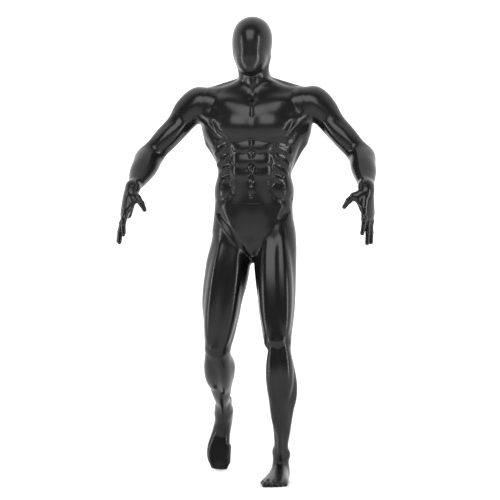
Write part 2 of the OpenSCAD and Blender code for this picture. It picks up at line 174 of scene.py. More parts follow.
def relief(points, width, height, view=None, behind=None):
    """A soft groove (height below 0) or ridge along a path. With view, the path is drawn on
    the body as seen along that axis. behind is (axis, edge, sign) and keeps the relief to
    the side of the body where the coordinate on that axis is past the edge."""
    points = [np.asarray(p, float) for p in points]
    flat = [0.0 if i == view else 1.0 for i in range(3)]

    def measure(x, y, z):
        best = None
        for a, b in zip(points[:-1], points[1:]):
            fa, fb = a * flat, b * flat
            _, (px, py, pz) = along(fa, fb)(x * flat[0], y * flat[1], z * flat[2])
            d2 = px * px + py * py + pz * pz
            best = d2 if best is None else np.minimum(best, d2)
        h = np.exp(-best / width ** 2)
        if behind is not None:
            axis, edge, sign = behind
            h = h * np.clip(0.5 + sign * ((x, y, z)[axis] - edge) / 20, 0, 1)
        return -height * h
    grow = np.full(3, 3 * width)
    if view is not None:
        grow[view] = THROUGH
    return boxed(points, grow, measure, carve)


def smooth_rows(rows, at, count=240):
    """Rows of numbers against at, joined by a smooth curve, as a fine lookup table."""
    at, rows = np.asarray(at, float), np.asarray(rows, float)
    slope = np.gradient(rows, at, axis=0)
    fine = np.linspace(at[0], at[-1], count)
    i = np.clip(np.searchsorted(at, fine) - 1, 0, len(at) - 2)
    h = (at[i + 1] - at[i])[:, None]
    t = ((fine - at[i])[:, None]) / h
    return fine, ((1 + 2 * t) * (1 - t) ** 2 * rows[i] + t * (1 - t) ** 2 * h * slope[i]
                  + t * t * (3 - 2 * t) * rows[i + 1] + t * t * (t - 1) * h * slope[i + 1])


def bone(a, b, front, rows, k, lateral=None, power=2.0, cap=None):
    """A limb along a straight bone. Each row is the share from a to b, and the sizes
    outward, inward, ahead and behind there. A power above 2 makes it squarer."""
    a, b = np.asarray(a, float), np.asarray(b, float)
    length = float(np.linalg.norm(b - a))
    e0 = (b - a) / length
    e2 = unit(np.asarray(front, float) - (np.asarray(front, float) @ e0) * e0)
    e1 = np.cross(e0, e2)
    if lateral is not None and e1 @ np.asarray(lateral, float) < 0:
        e1 = -e1
    at, sizes = smooth_rows([r[1:] for r in rows], [r[0] * length for r in rows])
    low, high = at[0], at[-1]
    caps = (cap or 0.8 * sizes[0].min(), cap or 0.8 * sizes[-1].min())

    def measure(x, y, z):
        px, py, pz = x - a[0], y - a[1], z - a[2]
        s = px * e0[0] + py * e0[1] + pz * e0[2]
        u = px * e1[0] + py * e1[1] + pz * e1[2]
        v = px * e2[0] + py * e2[1] + pz * e2[2]
        w = np.where(u > 0, np.interp(s, at, sizes[:, 0]), np.interp(s, at, sizes[:, 1]))
        h = np.where(v > 0, np.interp(s, at, sizes[:, 2]), np.interp(s, at, sizes[:, 3]))
        past = np.maximum(np.maximum(low - s, s - high), 0)
        end = np.where(s < (low + high) / 2, caps[0], caps[1])
        share = ((np.abs(u) / w) ** power + (np.abs(v) / h) ** power
                 + (past / end) ** power) ** (1 / power) + 1e-6
        rho = np.sqrt(u * u + v * v + past * past)
        return np.where(share > 1e-3, rho * (1 - 1 / share), -np.minimum(w, h))
    ends = [a + e0 * (low - caps[0]), a + e0 * (high + caps[1])]
    return boxed(ends, float(sizes.max()) + REACH, measure, merge(k))


# ---------------------------------------------------------------- torso and head

def torso_core():
    """Width, front and back of the trunk at heights down the body, as one upright form."""
    rows = [(1590, 40, 44, 44), (1576, 68, 50, 58), (1562, 96, 50, 66), (1545, 132, 58, 80),
            (1500, 152, 82, 102), (1455, 168, 104, 116), (1405, 178, 112, 119),
            (1355, 177, 114, 116), (1300, 170, 109, 108), (1245, 153, 103, 101),
            (1195, 142, 99, 97), (1145, 145, 98, 97), (1112, 152, 98, 99), (1085, 154, 98, 101),
            (1058, 155, 98, 102), (1010, 159, 97, 106), (965, 159, 94, 108), (920, 130, 84, 100),
            (892, 66, 62, 78), (876, 30, 42, 48)]
    top, low = rows[0][0], rows[-1][0]
    shares = [((top - z) / (top - low), w, w, f, b) for z, w, f, b in rows]
    return bone((3, -45, top), (-14, -45, low), (0, -1, 0), shares, 24, power=2.35)


def chest():
    """Chest muscles, collar bones and the grooves round them."""
    forms = []
    for s in (1, -1):
        x = lambda v: -4 + s * v
        forms += [
            # the chest muscle: lower body, upper part and the band to the arm
            egg((x(68), -129, 1382), (78, 46, 66), 30, (2, -4 * s, 8 * s)),
            egg((x(88), -99, 1440), (92, 40, 62), 50, (8, -6 * s, 14 * s)),
            rod((x(116), -112, 1388), (x(192), -78, 1444), 40, 38, 32),
            rod((x(108), -82, 1466), (x(200), -60, 1490), 46, 50, 40),
            # collar bone
            rod((x(30), -92, 1504), (x(104), -84, 1514), 8, 9, 28),
            # lower border of the chest, and its outer edge up to the armpit
            relief([(x(8), 0, 1333), (x(55), 0, 1327), (x(98), 0, 1335), (x(134), 0, 1362),
                    (x(160), 0, 1404)], 9, -5, view=1, behind=(1, -60, -1)),
            # hollow under the collar bone, beside the shoulder
            relief([(x(140), 0, 1514), (x(160), 0, 1486), (x(176), 0, 1446)], 18, -2,
                   view=1, behind=(1, -50, -1)),
        ]
    forms += [
        relief([(-4, 0, 1476), (-4, 0, 1415), (-4, 0, 1345)], 7, -3, view=1,
               behind=(1, -60, -1)),
        relief([(-5, 0, 1510), (-4, 0, 1498)], 17, -9, view=1, behind=(1, -60, -1)),
    ]
    return forms


def belly_wall():
    """The belly's muscles in rows, the ribs' serrations, the flanks and the groin."""
    forms = []
    rows = [(1310, -147, 27), (1256, -148, 27), (1206, -145, 25)]
    ribs = [((108, -136, 1346), (146, -98, 1322)), ((103, -136, 1306), (140, -96, 1282)),
            ((98, -133, 1264), (132, -92, 1240)), ((92, -129, 1224), (124, -90, 1202)),
            ((92, -124, 1184), (120, -88, 1166))]
    for s in (1, -1):
        x = lambda v: -6 + s * v
        for z, y, tall in rows:
            forms.append(egg((x(37), y, z), (41, 12, tall), 12, (-14, -3 * s, 9 * s)))
            forms.append(relief([(x(6), 0, z - 28), (x(40), 0, z - 25), (x(72), 0, z - 29)], 7, -2.5,
                                view=1, behind=(1, -60, -1)))
        forms += [
            egg((x(40), -126, 1236), (48, 32, 120), 22, (0, -3 * s, 8 * s)),
            egg((x(32), -126, 1132), (46, 22, 58), 24, (4, 0, 8 * s)),
            egg((x(22), -122, 1010), (40, 24, 110), 22, (8, 0, 6 * s)),
            # outer edge of the belly's long muscle
            relief([(x(88), 0, 1322), (x(86), 0, 1250), (x(80), 0, 1180), (x(84), 0, 1130)],
                   14, -2.2, view=1, behind=(1, -55, -1)),
            # flank, bulging over the hip bone
            egg((x(104), -58, 1150), (44, 58, 58), 44),
            egg((x(112), -38, 1136), (38, 62, 44), 34),
            relief([(x(96), -128, 1110), (x(124), -106, 1100), (x(146), -70, 1104)], 13, -3.5),
            # line of the groin, from the hip bone to the crotch
            relief([(x(130), 0, 1050), (x(104), 0, 1010), (x(72), 0, 962), (x(44), 0, 914),
                    (x(26), 0, 880)], 12, -8, view=1, behind=(1, -70, -1)),
        ]
        for front, rear in ribs:
            forms.append(rod((x(front[0]), *front[1:]), (x(rear[0]), *rear[1:]), 9, 13, 13))
            forms.append(relief([(x(front[0] + 2), front[1] - 2, front[2] - 20),
                                 (x(front[0] + 22), front[1] + 12, front[2] - 30)], 9, -2.5))
    forms += [
        relief([(-5, 0, 1335), (-6, 0, 1240), (-6, 0, 1160)], 8, -3.5, view=1,
               behind=(1, -60, -1)),
        relief([(-6, 0, 1122), (-6, 0, 1118)], 7, -6, view=1, behind=(1, -60, -1)),
        egg((-10, -106, 922), (30, 30, 44), 26),
    ]
    return forms


def back():
    """Shoulder blades, the broad muscle of the back, the neck's slope and the buttocks."""
    forms = []
    for s in (1, -1):
        x = lambda v: -2 + s * v
        forms += [
            rod((x(176), -32, 1408), (x(168), -24, 1335), 40, 34, 22),
            rod((x(168), -24, 1335), (x(122), -20, 1225), 34, 20, 18),
            rod((x(150), 8, 1420), (x(64), 28, 1190), 46, 32, 24),
            egg((x(150), -62, 1378), (46, 56, 84), 30, (0, 10 * s, 0)),
            egg((x(182 + 6 * s), -40, 1388), (30, 46, 50), 40),
            egg((x(96), 52, 1432), (62, 28, 60), 26, (0, 0, -14 * s)),
            egg((x(60), 32, 1500), (74, 32, 54), 30, (-10, 12 * s, 0)),
            rod((x(40), -24, 1566), (x(166), -30, 1532), 29, 23, 22),
            rod((x(48), -62, 1536), (x(178), -52, 1512), 25, 26, 34),
            rod((x(14), -20, 1634), (x(24), 34, 1480), 32, 36, 34),
            egg((x(120), 0, 1506), (74, 46, 42), 38, (0, 14 * s, 0)),
            rod((x(32), 48, 1300), (x(32), 42, 1070), 24, 28, 28),
            egg((-12 + s * 66, 16, 962), (74, 70, 86), 36, (0, 8 * s, 0)),
            relief([(x(44), 0, 1460), (x(60), 0, 1380), (x(30), 0, 1270)], 16, -3,
                   view=1, behind=(1, 20, 1)),
            relief([(x(110), 0, 1350), (x(150), 0, 1400), (x(168), 0, 1452)], 14, -4,
                   view=1, behind=(1, 10, 1)),
        ]
    forms += [
        relief([(-2, 0, 1500), (-2, 0, 1300), (-4, 0, 1100)], 18, -6, view=1, behind=(1, 10, 1)),
        relief([(-11, 0, 1020), (-12, 0, 860)], 12, -18, view=1, behind=(1, 20, 1)),
    ]
    return forms


def neck():
    """The neck's column, its two slanting muscles and the throat."""
    forms = [rod((-5, -38, 1520), (-12, -58, 1680), 63, 60, 22)]
    for s in (1, -1):
        forms.append(rod((-9 + s * 52, -50, 1664), (-4 + s * 18, -92, 1508), 14, 9, 14))
    forms.append(egg((-6, -100, 1566), (14, 12, 24), 24))
    return forms


def head():
    """A smooth egg without a face, with a jaw and a chin."""
    x = -12
    forms = [
        egg((x, -66, 1735), (79, 96, 88), 20),
        egg((x, -62, 1764), (66, 76, 56), 20),
        egg((x - 4, -62, 1690), (74, 84, 90), 26, (8, 0, 0)),
        egg((x - 3, -34, 1696), (68, 66, 80), 24),
        # jaw and chin
        egg((x - 1, -104, 1656), (58, 58, 62), 18, (-10, 0, 0)),
        egg((x, -122, 1622), (32, 38, 33), 16),
        # the rounded front, which the reliefs below flute faintly
        egg((x, -108, 1698), (50, 57, 82), 40, (1, 0, 0)),
    ]
    for offset in (-24, 30):
        forms.append(relief([(x + offset, 0, 1744), (x + 0.8 * offset, 0, 1668)], 7, 0.45, view=1,
                            behind=(1, -100, -1)))
    return forms


# ---------------------------------------------------------------- limbs

WRIST = (452, -303, 1137)     # of the left arm; the right one is its mirror image


def arm(side):
    """An arm from the shoulder to the wrist, bent at the elbow."""
    s = SIDES[side]
    m = lambda *p: (s * p[0], p[1], p[2])
    shoulder, elbow, wrist = m(246, -44, 1474), m(426, -102, 1266), m(*WRIST)
    over = m(0.697, -0.231, 0.679)
    # where the middle head of the shoulder ends along X, and how much thicker it is
    tip, lift = {"left": (320, 1), "right": (324, 4)}[side]
    upper = [(-0.12, 48, 52, 48, 48), (0.0, 56, 56, 54, 54), (0.12, 56, 55, 52, 52),
             (0.26, 49, 54, 50, 50), (0.4, 46, 53, 46, 46), (0.6, 46, 51, 46, 46),
             (0.8, 43, 47, 43, 44), (1.0, 42, 44, 42, 44)]
    fore = [(-0.02, 38, 38, 42, 46), (0.12, 46, 46, 47, 51), (0.3, 46, 48, 47, 51),
            (0.5, 40, 43, 46, 44), (0.7, 32, 37, 39, 35), (0.88, 27, 30, 32, 28),
            (1.02, 26, 27, 29, 27)]
    if side == "right":     # fuller towards the elbow, flatter ahead towards the wrist
        fore = [(t, o, i + 4 * (1 - t), a - 12 * t, b + 10 * (1 - t)) for t, o, i, a, b in fore]
    front = m(-0.315, -0.95, 0)
    return [
        bone(shoulder, elbow, front, upper, 18, lateral=over, cap=44),
        # the shoulder's three heads
        belly(m(190, -86, 1506), m(322, -72, 1398), 36, 42, front, 26),
        belly(m(204, -42, 1522), m(tip, -58, 1402), 52 + lift, 46, over, 22),
        belly(m(188, 4, 1504), m(316, -38, 1404), 36, 40, [-v for v in front], 16),
        ball(m(226, -44, 1481), 67, 30),
        # upper arm: two heads ahead, three behind
        belly(m(266, -86, 1426), m(404, -122, 1284), 28, 34, front, 16),
        belly(m(276, -28, 1420), m(404, -66, 1296), 27, 34, [-v for v in front], 16),
        belly(m(296, -34, 1440), m(392, -66, 1326), 22, 26, over, 16),
        relief([m(322, -44, 1420), m(372, -62, 1352), m(416, -84, 1310)], 9, -3),
        relief([m(266, -92, 1396), m(330, -104, 1336), m(392, -118, 1276)], 10, -3),
        # forearm
        bone(elbow, wrist, m(1, 0.1, 0.05), fore, 40, lateral=(0, -0.5, 0.85), cap=40),
        belly(m(400, -84, 1322), m(442, -220, 1204), 24, 26, (0, -0.5, 0.85), 20),
        belly(m(402, -112, 1256), m(438, -236, 1164), 22, 26, m(-1, 0, -0.5), 20),
        belly(m(438, -92, 1266), m(458, -232, 1188), 20, 24, m(1, 0, 0), 20),
        egg(m(434, -78, 1256), (17, 17, 20), 28),
    ]


def leg_left():
    """The standing leg, from the hip to the ankle."""
    hip, knee, ankle = (79, -48, 985), (101, -170, 548), (110, -133, 100)
    ahead = (0, -1, 0)
    thigh = [(-0.14, 58, 60, 70, 84), (0.0, 76, 80, 82, 100), (0.15, 80, 84, 77, 108),
             (0.3, 76, 86, 75, 102), (0.44, 69, 80, 73, 91), (0.58, 62, 76, 71, 81),
             (0.72, 55, 73, 67, 72), (0.87, 50, 63, 58, 60), (1.0, 49, 55, 51, 53)]
    shank = [(0.0, 48, 48, 46, 50), (0.1, 50, 36, 47, 52), (0.2, 59, 31, 43, 62),
             (0.3, 67, 39, 40, 68), (0.4, 70, 43, 38, 70), (0.5, 66, 42, 36, 63),
             (0.6, 54, 35, 33, 53), (0.7, 45, 31, 31, 44), (0.8, 37, 27, 30, 38),
             (0.9, 28, 26, 31, 36), (1.0, 26, 26, 34, 38)]
    return [
        bone(hip, knee, ahead, thigh, 20, lateral=(1, 0, 0)),
        bone(knee, ankle, ahead, shank, 14, lateral=(1, 0, 0)),
        *leg_muscles(hip, knee, ankle, 1),
    ]


def leg_right():
    """The rear leg, bent at the knee."""
    hip, knee, ankle = (-94, -46, 975), (-146, -96, 517), (-166, 255, 236)
    thigh = [(-0.14, 58, 60, 70, 84), (0.0, 72, 80, 80, 100), (0.14, 80, 84, 79, 112),
             (0.26, 87, 84, 78, 111), (0.4, 88, 79, 75, 98), (0.54, 87, 70, 70, 89),
             (0.67, 80, 69, 66, 79), (0.8, 64, 58, 61, 69), (0.9, 57, 51, 56, 62),
             (1.0, 50, 47, 52, 54)]
    shank = [(0.0, 48, 46, 52, 46), (0.1, 53, 49, 55, 46), (0.26, 59, 62, 50, 54),
             (0.39, 59, 57, 48, 59), (0.51, 51, 46, 45, 52), (0.63, 40, 34, 42, 43),
             (0.76, 34, 26, 38, 35), (0.89, 30, 28, 35, 32), (1.0, 30, 29, 34, 34)]
    return [
        bone(hip, knee, (0, -1, 0), thigh, 20, lateral=(-1, 0, 0)),
        bone(knee, ankle, (0, -0.624, -0.78), shank, 14, lateral=(-1, 0, 0)),
        *leg_muscles(hip, knee, ankle, -1),
    ]


def leg_muscles(hip, knee, ankle, s):
    """Muscles of a leg in the frames of its two bones. s is the outward side along X."""
    hip, knee, ankle = (np.asarray(p, float) for p in (hip, knee, ankle))
    t0, c0 = unit(knee - hip), unit(ankle - knee)
    out_t = unit(np.array((s, 0, 0)) - s * t0[0] * t0)
    out_c = unit(np.array((s, 0, 0)) - s * c0[0] * c0)
    fwd_t = np.cross(out_t, t0) * s
    fwd_c = np.cross(out_c, c0) * s
    thigh, shank = np.linalg.norm(knee - hip), np.linalg.norm(ankle - knee)

    def on_thigh(share, out, ahead):
        return hip + t0 * share * thigh + out_t * out + fwd_t * ahead

    def on_shank(share, out, ahead):
        return knee + c0 * share * shank + out_c * out + fwd_c * ahead

    return [
        # front of the thigh
        belly(on_thigh(0.06, 6, 36), on_thigh(0.95, 2, 32), 40, 50, fwd_t, 40),
        belly(on_thigh(0.12, 34, 10), on_thigh(0.99, 22, 18), 38, 52, out_t + fwd_t * 0.3, 40),
        belly(on_thigh(0.56, -32, 24), on_thigh(1.03, -24, 22), 26, 32, fwd_t - out_t, 30),
        belly(on_thigh(0.04, -32, 10), on_thigh(0.62, -44, -8), 40, 46, -out_t, 36),
        # back of the thigh
        belly(on_thigh(0.1, 26, -60), on_thigh(0.98, 28, -34), 38, 38, -fwd_t, 24),
        belly(on_thigh(0.1, -26, -56), on_thigh(0.98, -28, -34), 36, 38, -fwd_t, 24),
        # knee cap and the tendon under it
        egg(on_thigh(0.985, 0, 39), (25, 17, 30), 24, axes=[out_t, fwd_t, t0]),
        egg(on_shank(0.1, 0, 36), (15, 14, 26), 24, axes=[out_c, fwd_c, c0]),
        relief([on_thigh(0.88, 12, 64), on_thigh(0.94, 22, 54), on_thigh(1.0, 30, 44)], 11, -2),
        relief([on_thigh(0.88, -12, 64), on_thigh(0.94, -24, 52), on_thigh(1.0, -30, 44)], 11, -2),
        # calf, its two heads and the flat muscle under them
        belly(on_shank(0.02, -18, -26), on_shank(0.54, -18, -34), 36, 30, -fwd_c, 24),
        belly(on_shank(0.02, 24, -24), on_shank(0.49, 28, -34), 33, 32, -fwd_c, 24),
        belly(on_shank(0.3, 2, -24), on_shank(0.78, 0, -22), 24, 36, -fwd_c, 26),
        rod(on_shank(0.66, 0, -26), on_shank(0.97, 0, -30), 12, 9, 12),
        # shin
        belly(on_shank(0.08, 22, 8), on_shank(0.72, 12, 12), 24, 28, fwd_c + out_c, 24),
        relief([on_shank(0.16, -6, 46), on_shank(0.5, -8, 38), on_shank(0.76, -6, 32)], 12, 1.0),
        # ankle bones
        egg(on_shank(0.985, 23, -3), (10, 12, 15), 18),
        egg(on_shank(0.955, -22, 3), (10, 13, 16), 18),
    ]


def foot(heel, toe, instep, rows, s, ankle, toes):
    """A foot from heel to toe. rows: share, outward, inward, instep and sole sizes. s is
    the outward side along X."""
    heel, toe = np.asarray(heel, float), np.asarray(toe, float)
    e0 = unit(toe - heel)
    up = unit(np.asarray(instep, float) - (np.asarray(instep, float) @ e0) * e0)
    out = unit(np.array((s, 0, 0)) - s * e0[0] * e0)
    forms = [bone(heel, toe, up, rows, 24, lateral=(s, 0, 0), power=2.2), *ankle]
    for start, end, r in toes:
        a = heel + e0 * start[0] + out * start[1] + up * start[2]
        b = heel + e0 * end[0] + out * end[1] + up * end[2]
        forms.append(rod(a, b, r, r * 0.92, 7))
    return forms


TOES = [  # along from the heel, outward and up: start, end and radius of each toe
    ((206, -36, 4), (248, -40, -3), 13.5), ((214, -14, 4), (250, -17, -4), 10),
    ((210, 4, 3), (244, 2, -5), 9.5), ((202, 20, 2), (234, 19, -5), 9),
    ((192, 34, 0), (220, 34, -6), 8.5)]


def foot_left():
    """The standing foot, flat on the floor."""
    rows = [(0.0, 24, 24, 22, 30), (0.08, 32, 32, 42, 34), (0.2, 34, 34, 60, 36),
            (0.34, 35, 40, 52, 36), (0.5, 38, 47, 38, 34), (0.66, 43, 55, 28, 30),
            (0.8, 44, 60, 20, 24), (0.9, 37, 60, 13, 16), (0.96, 26, 48, 8, 10)]
    ankle = [rod((108, -133, 108), (107, -128, 52), 28, 32, 26),
             egg((105, -112, 30), (32, 34, 34), 16),
             relief([(78, -150, 12), (74, -196, 8)], 16, -6)]
    return foot((105, -80, 24), (109, -328, 12), (0, 0, 1), rows, 1, ankle, TOES)


def foot_right():
    """The rear foot, on its toes with the heel raised."""
    rows = [(0.0, 24, 18, 30, 20), (0.085, 32, 23, 46, 30), (0.2, 35, 30, 52, 32),
            (0.33, 36, 32, 46, 30), (0.45, 41, 30, 37, 27), (0.56, 48, 33, 29, 24),
            (0.68, 54, 38, 22, 21), (0.79, 53, 42, 17, 18), (0.9, 43, 46, 12, 13),
            (0.98, 28, 40, 10, 10)]
    ankle = [rod((-169, 248, 240), (-170, 274, 222), 29, 27, 34),
             rod((-168, 218, 262), (-176, 258, 176), 26, 24, 40)]
    return foot((-163, 318, 288), (-190, 216, 8), (0, -0.94, 0.34), rows, -1, ankle,
                [((a[0] - 4, a[1] + 5, a[2] - 2), (b[0] + 16, b[1] + 3, b[2] + 2), r - 1)
                 for a, b, r in TOES])


HAND_WAY = {"left": (0.1, -0.2, -0.98), "right": (0.24, -0.2, -0.95)}
HAND_ROLL = {"left": 24, "right": 13}   # degrees that the back of the hand turns forward
PALM = [((0, 0, 28), 22, 31), ((1, 2, 56), 21, 39), ((0, 1, 84), 18, 42), ((-2, 0, 104), 13, 40)]
FINGERS = {
    "index": [(-3, 30, 92), (-3, 32, 124), (-8, 33, 152), (-17, 32, 176)],
    "middle": [(-3, 10, 98), (-1, 11, 138), (-4, 11, 176), (-11, 10, 212)],
    "ring": [(-3, -10, 96), (0, -11, 134), (-1, -11, 170), (-6, -12, 206)],
    "little": [(-4, -28, 90), (-4, -30, 120), (-9, -31, 148), (-18, -31, 174)],
}
THUMB = {"left": [(-4, 20, 20), (-35, 38, 29), (-57, 42, 44), (-78, 42, 64)],
         "right": [(-4, 20, 20), (-31, 40, 34), (-51, 50, 51), (-69, 54, 72)]}


def hand(side):
    """A hand hanging from the wrist, in its own frame: outward, to the thumb, to the tips."""
    s = SIDES[side]
    way = unit(HAND_WAY[side])
    roll = math.radians(HAND_ROLL[side])
    outward = np.array((math.cos(roll), -math.sin(roll), 0))
    u = unit(outward - (outward @ way) * way)
    v = np.cross(way, u)
    wrist = np.array(WRIST, float)
    axes = [np.array((s * a[0], a[1], a[2])) for a in (u, v, way)]

    def at(p):
        q = wrist + p[0] * u + p[1] * v + p[2] * way
        return np.array((s * q[0], q[1], q[2]))

    forms = [rod(at((0, 0, -10)), at((-1, 0, 34)), 26, 21, 30)]
    for c, thick, wide in PALM:
        forms.append(egg(at(c), (thick, wide, 32), 20, axes=axes))
    forms += [
        rod(at((-6, 12, 20)), at((-28, 34, 34)), 17, 15, 20),
        rod(at((-24, 32, 36)), at((-8, 28, 80)), 12, 12, 18),
        rod(at((-14, -22, 30)), at((-16, -26, 96)), 15, 12, 16),
        egg(at((-22, 2, 60)), (10, 16, 24), 14, axes=axes, join=remove(14)),
    ]
    for name, (knuckle, middle, far, tip) in FINGERS.items():
        r = 9.6 if name == "little" else 10.8
        forms += [
            rod(at(knuckle), at(middle), r + 0.8, r, 3.5),
            rod(at(middle), at(far), r, r - 1.2, 3),
            rod(at(far), at(tip), r - 1.2, r - 2.4, 3),
            egg(at(middle), (r + 0.4, r + 0.6, r + 3), 7, axes=axes),
        ]
    base, first, second, tip = THUMB[side]
    forms += [rod(at(base), at(first), 16, 14, 12), rod(at(first), at(second), 13.5, 12, 8),
              rod(at(second), at(tip), 11.5, 8.5, 6)]
    return forms


# ---------------------------------------------------------------- seams

def plane_axes(normal):
    """Two unit axes that lie in the plane with this normal."""
    side = np.array((1.0, 0, 0)) if abs(normal[0]) < 0.7 else np.array((0, 0, 1.0))
    u = unit(side - (side @ normal) * normal)
    return u, np.cross(normal, u)


class Seam:
    """Where two casings part. normal points from the fixed casing to the loose one."""

    def __init__(self, centre, normal, fixed_plate, loose_plate):
        self.centre, self.normal = np.asarray(centre, float), unit(normal)
        self.u, self.v = plane_axes(self.normal)
        self.outline = {1: self.reach_of(fixed_plate), -1: self.reach_of(loose_plate)}

    def reach_of(self, plate):
        """How far out the plate reaches, by angle about the seam's centre, in mm."""
        co = np.array([v.co for v in frame["nodes"][plate].data.vertices]) / MM - self.centre
        across, up = co @ self.u, co @ self.v
        angle, reach = np.arctan2(up, across), np.hypot(across, up)
        rim = reach > 0.6 * reach.max()     # leaves out the bores near the middle
        angle, reach = angle[rim], reach[rim]
        order = np.argsort(angle)
        return angle[order], reach[order]


def seam_of(joint, away, fixed_plate, loose_plate, centre=None, normal=None):
    """The seam of a joint, with its normal towards away. A slide has no centre of its own
    in the record, so it is given one."""
    pos, axis = joint_place(joint)
    normal = axis if normal is None else unit(normal)
    if normal @ np.asarray(away, float) < 0:
        normal = -normal
    return Seam(pos if centre is None else centre, normal, fixed_plate, loose_plate)


SEAMS = {
    "neck": seam_of("head_turn", (0, 0, 1), "torso_neck_plate", "head_neck_plate"),
    "waist": seam_of("torso_lift", (0, 0, 1), "hips_waist_plate", "torso_waist_plate",
                     centre=(-5, DRAWN_ABOUT + STEP_BACK, 1085)),
    "leg": seam_of("right_leg_pull", (-1, 0, 0), "hips_leg_plate", "right_leg_plate",
                   centre=(-89, DRAWN_ABOUT + STEP_BACK, 962), normal=(-0.816, 0, -0.577)),
}
for side, s in SIDES.items():
    SEAMS[f"{side}_shoulder"] = seam_of(f"{side}_shoulder_turn", (s, 0, 0),
                                        f"torso_{side}_plate", f"{side}_arm_plate")
    SEAMS[f"{side}_wrist"] = seam_of(f"{side}_wrist_turn", (0, -1, -1),
                                     f"{side}_wrist_plate", f"{side}_hand_spigot")


def collars():
    """Fills the body out at the shoulders and the leg, so that no plate shows through it."""
    forms = []
    sizes = {"left_shoulder": (67, 67, 65, 65), "right_shoulder": (67, 67, 65, 65),
             "leg": (108, 112, 88, 106)}
    for name, row in sizes.items():
        normal, centre = SEAMS[name].normal, SEAMS[name].centre - (0, STEP_BACK, 0)
        forms.append(bone(centre - normal * 24, centre + normal * 8, (0, -1, 0),
                          [(0, *row), (0.5, *row), (1, *row)], 20, cap=12))
    return forms


# ---------------------------------------------------------------- meshing

def field(forms, box, step):
    """Distances on a grid over a box: the array, and the places along its three sides."""
    low = np.array(box[0], float)
    count = np.ceil((np.array(box[1]) - low) / step).astype(int) + 1
    axes = [low[i] + step * np.arange(count[i]) for i in range(3)]
    d = np.full(count, FAR, np.float32)
    for lo, hi, measure, join in forms:
        cut = [slice(*np.searchsorted(axes[i], (lo[i], hi[i]))) for i in range(3)]
        if any(c.start >= c.stop for c in cut):
            continue
        x, y, z = (axes[i][cut[i]].astype(np.float32) for i in range(3))
        part = d[tuple(cut)]
        d[tuple(cut)] = join(part, measure(x[:, None, None], y[None, :, None], z[None, None, :]))
    return d, axes


def distance(forms, points):
    """Distances at scattered points."""
    d = np.full(len(points), FAR)
    for lo, hi, measure, join in forms:
        near = np.flatnonzero(np.all((points > lo) & (points < hi), 1))
        if len(near):
            p = points[near]
            d[near] = join(d[near], measure(p[:, 0], p[:, 1], p[:, 2]))
    return d


def gradient(forms, points, step=0.4):
    """Direction in which the distance grows, and how steeply, from four probes round each
    point."""
    total = np.zeros_like(points)
    for corner in ((1, -1, -1), (-1, -1, 1), (-1, 1, -1), (1, 1, 1)):
        c = np.array(corner, float)
        total += c * distance(forms, points + step * c)[:, None]
    size = np.linalg.norm(total, axis=1)
    return total / np.maximum(size, 1e-9)[:, None], size / (4 * step)


def keep(region):
    """Leaves the body only where region(x, y, z) is below 0."""
    return (np.full(3, -1e4), np.full(3, 1e4), region, lambda d, r: np.maximum(d, r))


def skin(forms, box, step):
    """The surface of the forms as vertices and quads, moved close to the exact surface."""
    step *= COARSE
    d, axes = field(forms, box, step)
    grid = openvdb.FloatGrid()
    grid.background = FAR
    grid.copyFromArray(np.ascontiguousarray(d, np.float32))
    points, quads = grid.convertToQuads()
    points = points.astype(float) * step + np.array([a[0] for a in axes])
    for _ in range(2):
        way, slope = gradient(forms, points)
        move = np.clip(distance(forms, points) / np.maximum(slope, 0.5), -step, step)
        points = points - way * move[:, None]
    return points, quads[:, ::-1]


# Lips in mm: how far the rim stays back from the seam, how far its edge is rounded, and
# how deep the inner wall goes.
LIP = {"gap": 0.18, "round": 0.25, "deep": 30.0}
WRIST_LIP = {"gap": 0.18, "round": 0.25, "deep": 16.0}
PLATE_PLAY = 0.6      # room between a plate's edge and the inner wall round it, mm
LEAST_WALL = 1.5      # least thickness left between the inner wall and the skin, mm


